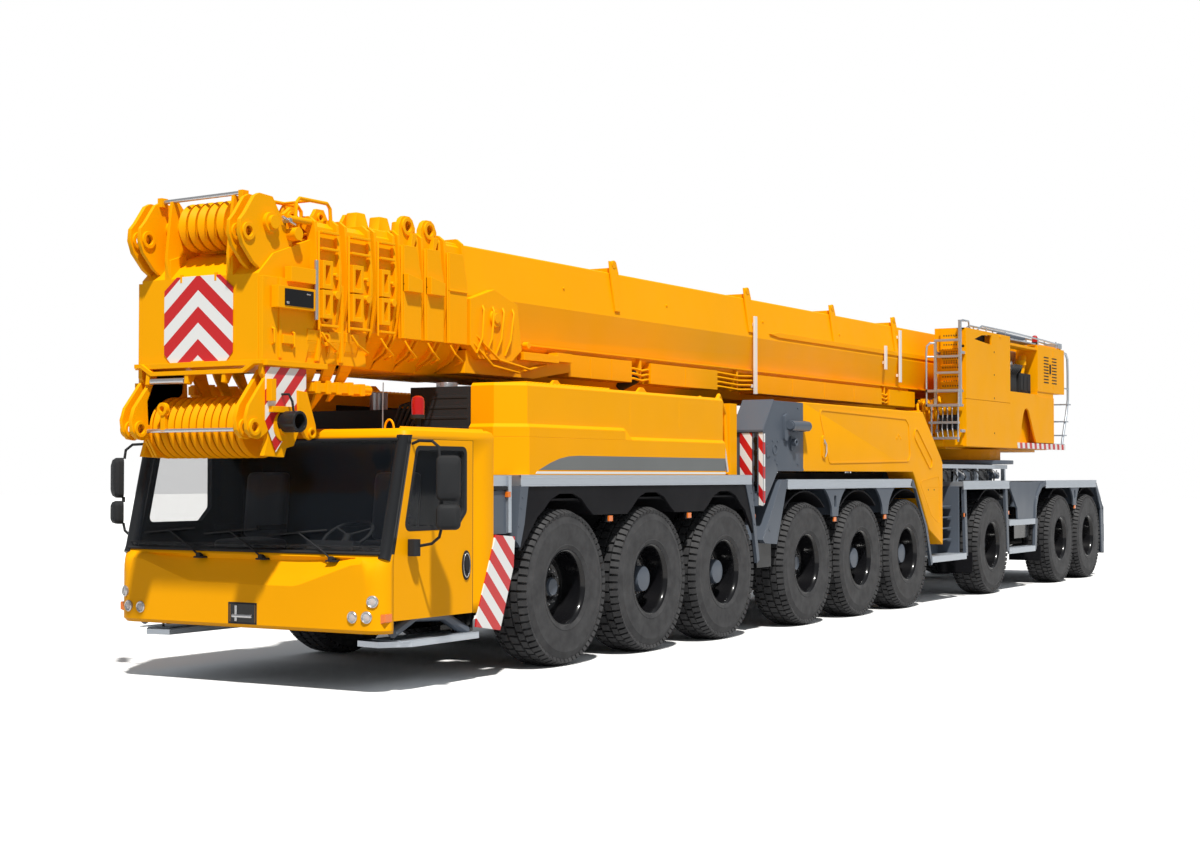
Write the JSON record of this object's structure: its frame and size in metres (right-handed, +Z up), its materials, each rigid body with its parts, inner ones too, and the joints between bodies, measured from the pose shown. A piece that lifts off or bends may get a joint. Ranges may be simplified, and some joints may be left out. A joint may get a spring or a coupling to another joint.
{
  "type": "mobile telescopic crane on a nine-axle carrier",
  "caption": "All-terrain truck crane with folding outriggers, driver's cab, engine housing, slewing superstructure and telescopic boom laid forward.",
  "frame": {"origin": "on the ground under the middle of the overall length and width", "axes": "+Y towards the rear, +X towards the driver's left, +Z up"},
  "size_m": [3.96, 22.5, 4.145],
  "materials": {
    "yellow_paint": "gloss",
    "grey_paint": "satin",
    "dark_paint": "satin",
    "aluminium": "brushed",
    "tyre": "matte",
    "steel": "polished",
    "glass": "gloss",
    "trim": "matte"
  },
  "bodies": {
    "chassis": {"chassis_frame": "grey_paint", "axles_front": "dark_paint", "axles_rear": "dark_paint", "deck_front": "aluminium", "deck_rear": "aluminium", "engine_cover": "yellow_paint", "engine_block": "dark_paint", "cab_shell": "yellow_paint", "windscreen": "glass", "cab_interior": "trim"},
    "wheel_1_left": {"wheel_1_left": "tyre"},
    "knuckle_1_left": {"knuckle_1_left": "dark_paint"},
    "wheel_1_right": {"wheel_1_right": "tyre"},
    "knuckle_1_right": {"knuckle_1_right": "dark_paint"},
    "wheel_2_left": {"wheel_2_left": "tyre"},
    "knuckle_2_left": {"knuckle_2_left": "dark_paint"},
    "wheel_2_right": {"wheel_2_right": "tyre"},
    "knuckle_2_right": {"knuckle_2_right": "dark_paint"},
    "wheel_3_left": {"wheel_3_left": "tyre"},
    "knuckle_3_left": {"knuckle_3_left": "dark_paint"},
    "wheel_3_right": {"wheel_3_right": "tyre"},
    "knuckle_3_right": {"knuckle_3_right": "dark_paint"},
    "wheel_4_left": {"wheel_4_left": "tyre"},
    "wheel_4_right": {"wheel_4_right": "tyre"},
    "wheel_5_left": {"wheel_5_left": "tyre"},
    "wheel_5_right": {"wheel_5_right": "tyre"},
    "wheel_6_left": {"wheel_6_left": "tyre"},
    "wheel_6_right": {"wheel_6_right": "tyre"},
    "wheel_7_left": {"wheel_7_left": "tyre"},
    "wheel_7_right": {"wheel_7_right": "tyre"},
    "wheel_8_left": {"wheel_8_left": "tyre"},
    "knuckle_8_left": {"knuckle_8_left": "dark_paint"},
    "wheel_8_right": {"wheel_8_right": "tyre"},
    "knuckle_8_right": {"knuckle_8_right": "dark_paint"},
    "wheel_9_left": {"wheel_9_left": "tyre"},
    "knuckle_9_left": {"knuckle_9_left": "dark_paint"},
    "wheel_9_right": {"wheel_9_right": "tyre"},
    "knuckle_9_right": {"knuckle_9_right": "dark_paint"},
    "cab_door_left": {"cab_door_left": "yellow_paint"},
    "outrigger_beam_left": {"outrigger_beam_left": "yellow_paint"},
    "outrigger_head_left": {"outrigger_head_left": "grey_paint"},
    "jack_tube_left": {"jack_tube_left": "steel"},
    "jack_foot_left": {"jack_foot_left": "steel"},
    "cab_door_right": {"cab_door_right": "yellow_paint"},
    "outrigger_beam_right": {"outrigger_beam_right": "yellow_paint"},
    "outrigger_head_right": {"outrigger_head_right": "grey_paint"},
    "jack_tube_right": {"jack_tube_right": "steel"},
    "jack_foot_right": {"jack_foot_right": "steel"},
    "superstructure": {"turntable": "yellow_paint", "housing_left": "yellow_paint", "housing_right": "yellow_paint"},
    "winch_drum": {"winch_drum": "steel"},
    "crane_cab": {"crane_cab": "yellow_paint"},
    "boom_base": {"boom_base": "yellow_paint"},
    "boom_section_1": {"boom_section_1": "yellow_paint"},
    "boom_section_2": {"boom_section_2": "yellow_paint"},
    "boom_section_3": {"boom_section_3": "yellow_paint"},
    "boom_head": {"boom_head": "yellow_paint"},
    "luffing_barrel": {"luffing_barrel": "yellow_paint"},
    "luffing_rod": {"luffing_rod": "steel"}
  },
  "joints": [
    {"name": "steer_1_left", "type": "hinge", "parent": "chassis", "child": "knuckle_1_left", "pos_m": [0.93, -7.65, 0.74], "axis": [0, 0, 1], "range_deg": [-30, 30]},
    {"name": "spin_1_left", "type": "hinge", "parent": "knuckle_1_left", "child": "wheel_1_left", "pos_m": [1.2675, -7.65, 0.74], "axis": [1, 0, 0], "continuous": true},
    {"name": "steer_1_right", "type": "hinge", "parent": "chassis", "child": "knuckle_1_right", "pos_m": [-0.93, -7.65, 0.74], "axis": [0, 0, 1], "range_deg": [-30.5, 30.5]},
    {"name": "spin_1_right", "type": "hinge", "parent": "knuckle_1_right", "child": "wheel_1_right", "pos_m": [-1.2675, -7.65, 0.74], "axis": [1, 0, 0], "continuous": true},
    {"name": "steer_2_left", "type": "hinge", "parent": "chassis", "child": "knuckle_2_left", "pos_m": [0.93, -6, 0.74], "axis": [0, 0, 1], "range_deg": [-24.8, 24.8]},
    {"name": "spin_2_left", "type": "hinge", "parent": "knuckle_2_left", "child": "wheel_2_left", "pos_m": [1.2675, -6, 0.74], "axis": [1, 0, 0], "continuous": true},
    {"name": "steer_2_right", "type": "hinge", "parent": "chassis", "child": "knuckle_2_right", "pos_m": [-0.93, -6, 0.74], "axis": [0, 0, 1], "range_deg": [-24.8, 24.8]},
    {"name": "spin_2_right", "type": "hinge", "parent": "knuckle_2_right", "child": "wheel_2_right", "pos_m": [-1.2675, -6, 0.74], "axis": [1, 0, 0], "continuous": true},
    {"name": "steer_3_left", "type": "hinge", "parent": "chassis", "child": "knuckle_3_left", "pos_m": [0.93, -4.35, 0.74], "axis": [0, 0, 1], "range_deg": [-19.4, 19.4]},
    {"name": "spin_3_left", "type": "hinge", "parent": "knuckle_3_left", "child": "wheel_3_left", "pos_m": [1.2675, -4.35, 0.74], "axis": [1, 0, 0], "continuous": true},
    {"name": "steer_3_right", "type": "hinge", "parent": "chassis", "child": "knuckle_3_right", "pos_m": [-0.93, -4.35, 0.74], "axis": [0, 0, 1], "range_deg": [-19.4, 19.4]},
    {"name": "spin_3_right", "type": "hinge", "parent": "knuckle_3_right", "child": "wheel_3_right", "pos_m": [-1.2675, -4.35, 0.74], "axis": [1, 0, 0], "continuous": true},
    {"name": "spin_4_left", "type": "hinge", "parent": "chassis", "child": "wheel_4_left", "pos_m": [1.2675, -2.15, 0.74], "axis": [1, 0, 0], "continuous": true},
    {"name": "spin_4_right", "type": "hinge", "parent": "chassis", "child": "wheel_4_right", "pos_m": [-1.2675, -2.15, 0.74], "axis": [1, 0, 0], "continuous": true},
    {"name": "spin_5_left", "type": "hinge", "parent": "chassis", "child": "wheel_5_left", "pos_m": [1.2675, -0.5, 0.74], "axis": [1, 0, 0], "continuous": true},
    {"name": "spin_5_right", "type": "hinge", "parent": "chassis", "child": "wheel_5_right", "pos_m": [-1.2675, -0.5, 0.74], "axis": [1, 0, 0], "continuous": true},
    {"name": "spin_6_left", "type": "hinge", "parent": "chassis", "child": "wheel_6_left", "pos_m": [1.2675, 1.15, 0.74], "axis": [1, 0, 0], "continuous": true},
    {"name": "spin_6_right", "type": "hinge", "parent": "chassis", "child": "wheel_6_right", "pos_m": [-1.2675, 1.15, 0.74], "axis": [1, 0, 0], "continuous": true},
    {"name": "spin_7_left", "type": "hinge", "parent": "chassis", "child": "wheel_7_left", "pos_m": [1.2675, 4.67, 0.74], "axis": [1, 0, 0], "continuous": true},
    {"name": "spin_7_right", "type": "hinge", "parent": "chassis", "child": "wheel_7_right", "pos_m": [-1.2675, 4.67, 0.74], "axis": [1, 0, 0], "continuous": true},
    {"name": "steer_8_left", "type": "hinge", "parent": "chassis", "child": "knuckle_8_left", "pos_m": [0.93, 8.2, 0.74], "axis": [0, 0, 1], "range_deg": [-24.5, 24.5]},
    {"name": "spin_8_left", "type": "hinge", "parent": "knuckle_8_left", "child": "wheel_8_left", "pos_m": [1.2675, 8.2, 0.74], "axis": [1, 0, 0], "continuous": true},
    {"name": "steer_8_right", "type": "hinge", "parent": "chassis", "child": "knuckle_8_right", "pos_m": [-0.93, 8.2, 0.74], "axis": [0, 0, 1], "range_deg": [-24.5, 24.5]},
    {"name": "spin_8_right", "type": "hinge", "parent": "knuckle_8_right", "child": "wheel_8_right", "pos_m": [-1.2675, 8.2, 0.74], "axis": [1, 0, 0], "continuous": true},
    {"name": "steer_9_left", "type": "hinge", "parent": "chassis", "child": "knuckle_9_left", "pos_m": [0.93, 9.85, 0.74], "axis": [0, 0, 1], "range_deg": [-30.2, 30.2]},
    {"name": "spin_9_left", "type": "hinge", "parent": "knuckle_9_left", "child": "wheel_9_left", "pos_m": [1.2675, 9.85, 0.74], "axis": [1, 0, 0], "continuous": true},
    {"name": "steer_9_right", "type": "hinge", "parent": "chassis", "child": "knuckle_9_right", "pos_m": [-0.93, 9.85, 0.74], "axis": [0, 0, 1], "range_deg": [-30.2, 30.2]},
    {"name": "spin_9_right", "type": "hinge", "parent": "knuckle_9_right", "child": "wheel_9_right", "pos_m": [-1.2675, 9.85, 0.74], "axis": [1, 0, 0], "continuous": true},
    {"name": "door_left", "type": "hinge", "parent": "chassis", "child": "cab_door_left", "pos_m": [1.5, -10.338, 1.3], "axis": [0, 0, -1], "range_deg": [0, 70]},
    {"name": "outrigger_swing_left", "type": "hinge", "parent": "chassis", "child": "outrigger_beam_left", "pos_m": [1.28, 2.21, 1.56], "axis": [0, 0, 1], "range_deg": [0, 75]},
    {"name": "outrigger_extend_left", "type": "slide", "parent": "outrigger_beam_left", "child": "outrigger_head_left", "axis": [0, -1, 0], "range_m": [0, 3]},
    {"name": "jack_tube_down_left", "type": "slide", "parent": "outrigger_head_left", "child": "jack_tube_left", "axis": [0, 0, -1], "range_m": [0, 0.76]},
    {"name": "jack_foot_down_left", "type": "slide", "parent": "jack_tube_left", "child": "jack_foot_left", "axis": [0, 0, -1], "range_m": [0, 0.76]},
    {"name": "door_right", "type": "hinge", "parent": "chassis", "child": "cab_door_right", "pos_m": [-1.5, -10.338, 1.3], "axis": [0, 0, 1], "range_deg": [0, 70]},
    {"name": "outrigger_swing_right", "type": "hinge", "parent": "chassis", "child": "outrigger_beam_right", "pos_m": [-1.28, 2.21, 1.56], "axis": [0, 0, -1], "range_deg": [0, 75]},
    {"name": "outrigger_extend_right", "type": "slide", "parent": "outrigger_beam_right", "child": "outrigger_head_right", "axis": [0, -1, 0], "range_m": [0, 3]},
    {"name": "jack_tube_down_right", "type": "slide", "parent": "outrigger_head_right", "child": "jack_tube_right", "axis": [0, 0, -1], "range_m": [0, 0.76]},
    {"name": "jack_foot_down_right", "type": "slide", "parent": "jack_tube_right", "child": "jack_foot_right", "axis": [0, 0, -1], "range_m": [0, 0.76]},
    {"name": "slewing", "type": "hinge", "parent": "chassis", "child": "superstructure", "pos_m": [0, 5.55, 2.04], "axis": [0, 0, 1], "continuous": true},
    {"name": "winch", "type": "hinge", "parent": "superstructure", "child": "winch_drum", "pos_m": [0, 7.8, 2.99], "axis": [1, 0, 0], "continuous": true},
    {"name": "crane_cab_tilt", "type": "hinge", "parent": "superstructure", "child": "crane_cab", "pos_m": [-1.05, 8.85, 2.73], "axis": [-1, 0, 0], "range_deg": [0, 20]},
    {"name": "luff", "type": "hinge", "parent": "superstructure", "child": "boom_base", "pos_m": [0, 6.25, 3.5], "axis": [-1, 0, 0], "range_deg": [0, 82]},
    {"name": "telescope_1", "type": "slide", "parent": "boom_base", "child": "boom_section_1", "axis": [0, -1, 0], "range_m": [0, 8.9]},
    {"name": "telescope_2", "type": "slide", "parent": "boom_section_1", "child": "boom_section_2", "axis": [0, -1, 0], "range_m": [0, 8.9]},
    {"name": "telescope_3", "type": "slide", "parent": "boom_section_2", "child": "boom_section_3", "axis": [0, -1, 0], "range_m": [0, 8.9]},
    {"name": "telescope_4", "type": "slide", "parent": "boom_section_3", "child": "boom_head", "axis": [0, -1, 0], "range_m": [0, 8.9]},
    {"name": "luffing_barrel_pivot", "type": "hinge", "parent": "superstructure", "child": "luffing_barrel", "pos_m": [0, 3.65, 2.9], "axis": [-1, 0, 0], "range_deg": [0, 95.91]},
    {"name": "luffing_rod_slide", "type": "slide", "parent": "luffing_barrel", "child": "luffing_rod", "axis": [0, -1, 0], "range_m": [0, 3.084]}
  ],
  "couplings": [
    {"joint": "steer_1_right", "follows": "steer_1_left", "ratio": 1},
    {"joint": "steer_2_left", "follows": "steer_1_left", "ratio": 0.81},
    {"joint": "steer_2_right", "follows": "steer_1_left", "ratio": 0.81},
    {"joint": "steer_3_left", "follows": "steer_1_left", "ratio": 0.63},
    {"joint": "steer_3_right", "follows": "steer_1_left", "ratio": 0.63},
    {"joint": "steer_8_left", "follows": "steer_1_left", "ratio": -0.8},
    {"joint": "steer_8_right", "follows": "steer_1_left", "ratio": -0.8},
    {"joint": "steer_9_left", "follows": "steer_1_left", "ratio": -0.99},
    {"joint": "steer_9_right", "follows": "steer_1_left", "ratio": -0.99},
    {"joint": "outrigger_extend_left", "follows": "outrigger_swing_left", "m_per_rad": 2.288},
    {"joint": "jack_tube_down_left", "follows": "outrigger_swing_left", "m_per_rad": 0.57678},
    {"joint": "jack_foot_down_left", "follows": "outrigger_swing_left", "m_per_rad": 0.57678},
    {"joint": "outrigger_extend_right", "follows": "outrigger_swing_right", "m_per_rad": 2.288},
    {"joint": "jack_tube_down_right", "follows": "outrigger_swing_right", "m_per_rad": 0.57678},
    {"joint": "jack_foot_down_right", "follows": "outrigger_swing_right", "m_per_rad": 0.57678},
    {"joint": "telescope_2", "follows": "telescope_1", "ratio": 1},
    {"joint": "telescope_3", "follows": "telescope_1", "ratio": 1},
    {"joint": "telescope_4", "follows": "telescope_1", "ratio": 1},
    {"joint": "luffing_barrel_pivot", "follows": "luff", "ratio": 1.1635},
    {"joint": "luffing_rod_slide", "follows": "luff", "m_per_rad": 2.1481}
  ]
}
